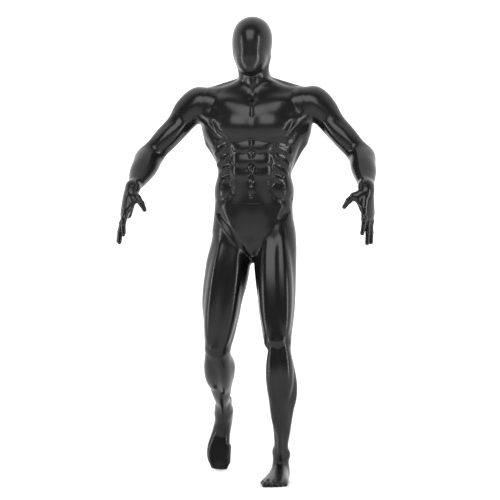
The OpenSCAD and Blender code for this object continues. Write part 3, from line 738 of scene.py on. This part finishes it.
def trim(bm, seam, side, lip, allowed):
    """Cuts a casing at a seam, keeping the fixed (1) or loose (-1) side, and gives the
    opening a rounded lip, a flat rim in to the plate and an inner wall closed at its end.
    Only where allowed(point) holds is the casing cut. Returns the least distance from the
    plate's edge to the skin, in mm."""
    bm.verts.ensure_lookup_table()
    start = Vector((seam.centre - side * seam.normal * (lip["gap"] + lip["round"])) * MM)
    normal = Vector(seam.normal * side)
    inside = {v for v in bm.verts if allowed(np.array(v.co) / MM)}
    faces = [f for f in bm.faces if all(v in inside for v in f.verts)]
    edges = list({e for f in faces for e in f.edges})
    verts = list({v for f in faces for v in f.verts})
    bmesh.ops.bisect_plane(bm, geom=verts + edges + faces, plane_co=start, plane_no=normal,
                           dist=1e-7, clear_outer=False, clear_inner=False)
    beyond = [v for v in bm.verts if allowed(np.array(v.co) / MM)
              and (v.co - start).dot(normal) > 1e-6]
    bmesh.ops.delete(bm, geom=beyond, context="VERTS")
    rim = [e for e in bm.edges if e.is_boundary
           and all(abs((v.co - start).dot(normal)) < 1e-5 for v in e.verts)]
    loops = ordered_loops(rim)
    loop = max(loops, key=len)
    for spare in loops:
        if spare is not loop:
            bmesh.ops.holes_fill(bm, edges=[e for e in rim if e.verts[0] in spare], sides=0)
    angles, reach = seam.outline[side]
    outer = []
    for v in loop:
        p = np.array(v.co) / MM - seam.centre
        outer.append((math.atan2(p @ seam.v, p @ seam.u), math.hypot(p @ seam.u, p @ seam.v)))

    def plate_reach(angle):
        return np.interp(angle, angles, reach, period=2 * math.pi)

    def plate_edge(angle, r):
        return min(plate_reach(angle) + PLATE_PLAY, r - LEAST_WALL)

    def ring(radius_of, height):
        """Vertices round the opening, at a radius and at a height below the seam."""
        made = []
        for a, r in outer:
            rr = radius_of(a, r)
            p = seam.centre + rr * (math.cos(a) * seam.u + math.sin(a) * seam.v) \
                - side * seam.normal * height
            made.append(bm.verts.new(Vector(p * MM)))
        return made

    bevel = lip["round"] * 0.3
    rings = [loop,
             ring(lambda a, r: r - bevel, lip["gap"] + bevel),
             ring(lambda a, r: r - lip["round"], lip["gap"]),
             ring(plate_edge, lip["gap"]),
             ring(plate_edge, lip["deep"])]
    for one, two in zip(rings[:-1], rings[1:]):
        for i in range(len(one)):
            j = (i + 1) % len(one)
            bm.faces.new((one[i], one[j], two[j], two[i]))
    middle = bm.verts.new(Vector((seam.centre - side * seam.normal * lip["deep"]) * MM))
    last = rings[-1]
    for i in range(len(last)):
        bm.faces.new((last[i], last[(i + 1) % len(last)], middle))
    return min(r - plate_reach(a) for a, r in outer)


def ordered_loops(edges):
    """Vertex loops of a set of boundary edges."""
    next_to = {}
    for e in edges:
        for a, b in ((e.verts[0], e.verts[1]), (e.verts[1], e.verts[0])):
            next_to.setdefault(a, []).append(b)
    loops, seen = [], set()
    for first in next_to:
        if first in seen:
            continue
        loop, v, last = [], first, None
        while v not in seen:
            seen.add(v)
            loop.append(v)
            ways = [n for n in next_to[v] if n is not last and n not in seen]
            if not ways:
                break
            last, v = v, ways[0]
        loops.append(loop)
    return loops


def casing(name, body, nodes, forms, box, step, cuts, region):
    """Meshes one casing and puts it on its body in place of the frame's plain one."""
    points, quads = skin([*forms, keep(region)], box, step)
    mesh = bpy.data.meshes.new(name)
    mesh.from_pydata([tuple(p * MM) for p in points], [], [tuple(q) for q in quads])
    bm = bmesh.new()
    bm.from_mesh(mesh)
    for seam, side, lip, allowed in cuts:
        tight = trim(bm, SEAMS[seam], side, lip, allowed)
        print(f"{name}: {seam} wall at the plate, thinnest {tight:.1f} mm")
    loose = [v for v in bm.verts if not v.link_faces]
    bmesh.ops.delete(bm, geom=loose, context="VERTS")
    bmesh.ops.recalc_face_normals(bm, faces=bm.faces)
    bm.to_mesh(mesh)
    bm.free()
    mesh.update()
    obj = bpy.data.objects.new(name, mesh)
    bpy.context.scene.collection.objects.link(obj)
    mesh.shade_smooth()
    mesh.set_sharp_from_angle(angle=math.radians(50))
    mesh.materials.append(MATERIALS["casing"])
    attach(obj, body)
    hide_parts(*nodes)
    print(f"{name}: {len(mesh.vertices)} vertices, {len(mesh.polygons)} faces")


# ---------------------------------------------------------------- materials

def new_material(name, colour, metallic, roughness):
    mat = bpy.data.materials.new(name)
    mat.use_nodes = True
    shader = mat.node_tree.nodes["Principled BSDF"]
    shader.inputs["Base Color"].default_value = (*colour, 1)
    shader.inputs["Metallic"].default_value = metallic
    shader.inputs["Roughness"].default_value = roughness
    return mat, mat.node_tree, shader


def places(tree, stretch=None):
    """Object coordinates, scaled along each axis where stretch is given."""
    coords = tree.nodes.new("ShaderNodeTexCoord").outputs["Object"]
    if stretch is None:
        return coords
    mapping = tree.nodes.new("ShaderNodeMapping")
    mapping.inputs["Scale"].default_value = stretch
    tree.links.new(coords, mapping.inputs["Vector"])
    return mapping.outputs["Vector"]


def noise(tree, coords, scale, detail):
    """Noise from 0 to 1 over the coordinates."""
    node = tree.nodes.new("ShaderNodeTexNoise")
    node.inputs["Scale"].default_value = scale
    node.inputs["Detail"].default_value = detail
    tree.links.new(coords, node.inputs["Vector"])
    return node.outputs["Fac"]


def ranged(tree, value, low, high, out_low, out_high, curve="LINEAR"):
    """Maps a value from the range low to high onto the range out_low to out_high."""
    node = tree.nodes.new("ShaderNodeMapRange")
    for key, v in (("From Min", low), ("From Max", high), ("To Min", out_low), ("To Max", out_high)):
        node.inputs[key].default_value = v
    node.interpolation_type = curve
    tree.links.new(value, node.inputs["Value"])
    return node.outputs["Result"]


def bumped(tree, shader, height, strength, distance):
    node = tree.nodes.new("ShaderNodeBump")
    node.inputs["Strength"].default_value = strength
    node.inputs["Distance"].default_value = distance
    tree.links.new(height, node.inputs["Height"])
    tree.links.new(node.outputs["Normal"], shader.inputs["Normal"])


def lacquer():
    """Black lacquer over moulded plastic: a soft sheen under a thin hard coat."""
    mat, tree, shader = new_material("black_lacquer", (0.004, 0.004, 0.0045), 0.0, 0.3)
    shader.inputs["IOR"].default_value = 1.45
    shader.inputs["Specular IOR Level"].default_value = 0.28
    shader.inputs["Coat Weight"].default_value = 0.1
    shader.inputs["Coat Roughness"].default_value = 0.13
    coords = places(tree)
    broad = noise(tree, coords, 3.5, 2.0)
    fine = noise(tree, coords, 260.0, 2.0)
    tree.links.new(ranged(tree, broad, 0.3, 0.7, 0.24, 0.31), shader.inputs["Roughness"])
    bumped(tree, shader, fine, 0.08, 0.0004)
    tint = tree.nodes.new("ShaderNodeMixRGB")
    tint.inputs["Color1"].default_value = (0.003, 0.003, 0.0034, 1)
    tint.inputs["Color2"].default_value = (0.005, 0.005, 0.0054, 1)
    tree.links.new(broad, tint.inputs["Fac"])
    tree.links.new(tint.outputs["Color"], shader.inputs["Base Color"])
    return mat


def plywood():
    """Plates of birch ply inside the casings, with a faint grain."""
    mat, tree, shader = new_material("birch_ply", (0.62, 0.46, 0.29), 0.0, 0.55)
    grain = noise(tree, places(tree, (1.0, 9.0, 9.0)), 22.0, 6.0)
    ramp = tree.nodes.new("ShaderNodeValToRGB")
    ramp.color_ramp.elements[0].position, ramp.color_ramp.elements[1].position = 0.35, 0.65
    ramp.color_ramp.elements[0].color = (0.40, 0.26, 0.14, 1)
    ramp.color_ramp.elements[1].color = (0.68, 0.52, 0.34, 1)
    tree.links.new(grain, ramp.inputs["Fac"])
    tree.links.new(ramp.outputs["Color"], shader.inputs["Base Color"])
    bumped(tree, shader, grain, 0.25, 0.0003)
    return mat


def metal(name, colour, low, high, scale, stretch):
    """Bare metal with fine marks, whose roughness varies from low to high over them."""
    mat, tree, shader = new_material(name, colour, 1.0, (low + high) / 2)
    marks = noise(tree, places(tree, stretch), scale, 4.0)
    tree.links.new(ranged(tree, marks, 0.3, 0.7, low, high), shader.inputs["Roughness"])
    bumped(tree, shader, marks, 0.12, 0.0002)
    return mat


def stage_white():
    """Matt white for the floor. It glows more with distance, so that no horizon shows."""
    mat, tree, shader = new_material("studio_white", (0.9, 0.9, 0.9), 0.0, 0.9)
    coords = places(tree)
    speckle = noise(tree, coords, 40.0, 3.0)
    tree.links.new(ranged(tree, speckle, 0.2, 0.8, 0.86, 0.9), shader.inputs["Roughness"])
    away = tree.nodes.new("ShaderNodeVectorMath")
    away.operation = "LENGTH"
    tree.links.new(coords, away.inputs[0])
    glow = ranged(tree, away.outputs["Value"], 1.0, 7.0, 0.03, 0.6)
    shader.inputs["Emission Color"].default_value = (1, 1, 1, 1)
    tree.links.new(glow, shader.inputs["Emission Strength"])
    return mat


MATERIALS = {
    "casing": lacquer(),
    "end_plate": plywood(),
    "fitting_steel": metal("turned_steel", (0.60, 0.60, 0.62), 0.25, 0.42, 30.0, (1, 1, 14)),
    "magnet": metal("nickel_magnet", (0.72, 0.70, 0.67), 0.10, 0.22, 90.0, (1, 1, 1)),
    "screw_zinc": metal("zinc_screw", (0.66, 0.69, 0.72), 0.22, 0.40, 140.0, (1, 1, 1)),
}


def dress_frame():
    """Gives every node of the frame the finish of its slot."""
    slots = {part["node"]: part["material_slot"] for part in frame["record"]["subparts"]}
    for name, obj in frame["nodes"].items():
        obj.data.materials.clear()
        obj.data.materials.append(MATERIALS[slots[name]])


# ---------------------------------------------------------------- the figure

def build_figure():
    """Meshes the eight casings from the forms."""
    trunk = [torso_core(), *collars(), *back(), *chest(), *belly_wall(), *neck()]
    arms = {side: arm(side) for side in SIDES}
    upper = [*trunk, *arms["left"], *arms["right"]]
    lower = [*trunk, *leg_left(), *leg_right()]
    everywhere = lambda p: True

    def past(seam, side, extra=12):
        """Distance beyond a seam, so that a casing's mesh ends a little past it."""
        place = SEAMS[seam]
        n, c = place.normal * side, place.centre

        def region(x, y, z):
            return (x - c[0]) * n[0] + (y - c[1]) * n[1] + (z - c[2]) * n[2] - extra
        return region

    def all_of(*regions):
        def region(x, y, z):
            d = regions[0](x, y, z)
            for r in regions[1:]:
                d = np.maximum(d, r(x, y, z))
            return d
        return region

    casing("head_casing", "head", ["head_shell"], [*trunk, *head()],
           ((-110, -170, 1540), (80, 80, 1850)), 2.4,
           [("neck", -1, LIP, everywhere)], past("neck", -1))
    casing("torso_casing", "torso", ["torso_shell"], upper,
           ((-260, -200, 1060), (260, 150, 1640)), 3.0,
           [("neck", 1, LIP, lambda p: abs(p[0]) < 120 and p[2] > 1540),
            ("waist", -1, LIP, lambda p: p[2] < 1120),
            ("left_shoulder", 1, LIP, lambda p: p[0] > 140),
            ("right_shoulder", 1, LIP, lambda p: p[0] < -140)],
           all_of(past("neck", 1), past("waist", -1), past("left_shoulder", 1),
                  past("right_shoulder", 1)))
    for side, s in SIDES.items():
        xs = sorted((s * 150, s * 520))
        casing(f"{side}_arm_casing", f"{side}_arm", [f"{side}_arm_shell"],
               [*upper, *hand(side)[:1]],
               ((xs[0], -330, 1090), (xs[1], 90, 1580)), 2.4,
               [(f"{side}_shoulder", -1, LIP, lambda p: p[2] > 1380),
                (f"{side}_wrist", 1, WRIST_LIP, lambda p: p[2] < 1200 and p[1] < -196)],
               all_of(past(f"{side}_shoulder", -1), past(f"{side}_wrist", 1)))
        xs = sorted((s * 330, s * 520))
        casing(f"{side}_hand_casing", f"{side}_hand", [f"{side}_hand_casting"],
               [*arms[side], *hand(side)],
               ((xs[0], -390, 900), (xs[1], -200, 1190)), 1.5,
               [(f"{side}_wrist", -1, WRIST_LIP, lambda p: p[2] > 1090)],
               past(f"{side}_wrist", -1, 6))

    crotch = -8.0         # below the crotch the casings part at this x, in the air
    crotch_top = 862.0    # height up to which they part there

    def floor(x, y, z):
        return -z

    def right_of(x, y, z):
        return x - crotch

    def left_part(x, y, z):
        return np.minimum(past("leg", 1)(x, y, z), np.maximum(crotch - x, z - crotch_top))

    casing("right_leg_casing", "right_leg", ["right_leg_shell"], [*lower, *foot_right()],
           ((-270, -200, -6), (0, 410, 1110)), 2.8,
           [("leg", -1, LIP, everywhere)], all_of(past("leg", -1), right_of, floor))
    casing("hips_casing", "hips", ["hips_left_leg_shell"], [*lower, *foot_left()],
           ((-220, -350, -6), (220, 170, 1110)), 2.8,
           [("waist", 1, LIP, lambda p: p[2] > 1040),
            ("leg", 1, LIP, lambda p: p[0] < crotch + 2 or p[2] > crotch_top + 6)],
           all_of(past("waist", 1), left_part, floor))


# ---------------------------------------------------------------- stage

def softbox(name, centre, target, width, height, power):
    """A rectangular light in metres and watts, turned towards target."""
    light = bpy.data.lights.new(name, "AREA")
    light.shape = "RECTANGLE"
    light.size, light.size_y = width, height
    light.energy = power
    obj = bpy.data.objects.new(name, light)
    bpy.context.scene.collection.objects.link(obj)
    obj.location = centre
    obj.rotation_euler = (Vector(target) - Vector(centre)).to_track_quat("-Z", "Y").to_euler()


def light_room(tree):
    """A white room that is dimmer on the side the figure faces, so that the front of the
    lacquer stays dark and its edges catch the white walls. The camera itself sees the
    room white all round."""
    white_wall, dim_wall = 1.6, 0.12
    background = tree.nodes["Background"]
    background.inputs["Color"].default_value = (1, 1, 1, 1)
    way = tree.nodes.new("ShaderNodeTexCoord")
    split = tree.nodes.new("ShaderNodeSeparateXYZ")
    tree.links.new(way.outputs["Generated"], split.inputs["Vector"])
    wall = ranged(tree, split.outputs["Y"], -0.4, 0.2, dim_wall, white_wall, "SMOOTHSTEP")
    seen = tree.nodes.new("ShaderNodeLightPath")
    white = tree.nodes.new("ShaderNodeMix")
    white.inputs["B"].default_value = white_wall
    tree.links.new(seen.outputs["Is Camera Ray"], white.inputs["Factor"])
    tree.links.new(wall, white.inputs["A"])
    tree.links.new(white.outputs["Result"], background.inputs["Strength"])


def build_stage():
    """The room, the floor and three softboxes."""
    scene = bpy.context.scene
    world = bpy.data.worlds.new("studio")
    scene.world = world
    world.use_nodes = True
    light_room(world.node_tree)
    scene.view_settings.view_transform = "Standard"
    bm = bmesh.new()
    reach = 30.0          # from the middle of the floor to its edges, m
    for x, y in ((-reach, -reach), (reach, -reach), (reach, reach), (-reach, reach)):
        bm.verts.new((x, y, 0))
    bm.faces.new(bm.verts)
    mesh = bpy.data.meshes.new("floor")
    bm.to_mesh(mesh)
    bm.free()
    floor = bpy.data.objects.new("floor", mesh)
    scene.collection.objects.link(floor)
    mesh.materials.append(stage_white())
    softbox("top", (-0.2, -3.4, 3.8), (0, 0, 1.3), 3.6, 2.6, 150)
    softbox("left_strip", (-3.6, -1.4, 1.4), (0, 0, 1.0), 0.5, 2.8, 60)
    softbox("right_strip", (3.2, -1.6, 1.4), (0, 0, 1.0), 0.5, 2.8, 70)


def build_camera():
    """A level camera at chest height, eight metres off and a little to the figure's left."""
    distance, height, azimuth = 8.0, 0.904, math.radians(7)
    aside = 0.024         # how far the camera is moved to its own left, m
    camera = bpy.data.cameras.new("camera")
    camera.sensor_width, camera.lens = 36, 145.7
    obj = bpy.data.objects.new("camera", camera)
    bpy.context.scene.collection.objects.link(obj)
    back = Vector((math.sin(azimuth), -math.cos(azimuth), 0))
    right = Vector((math.cos(azimuth), math.sin(azimuth), 0))
    middle = Vector((0, (DRAWN_ABOUT + STEP_BACK) * MM, height))
    obj.location = middle + back * distance - right * aside
    obj.rotation_euler = (-back).to_track_quat("-Z", "Y").to_euler()
    bpy.context.scene.camera = obj


build_camera()
dress_frame()
build_figure()
build_stage()
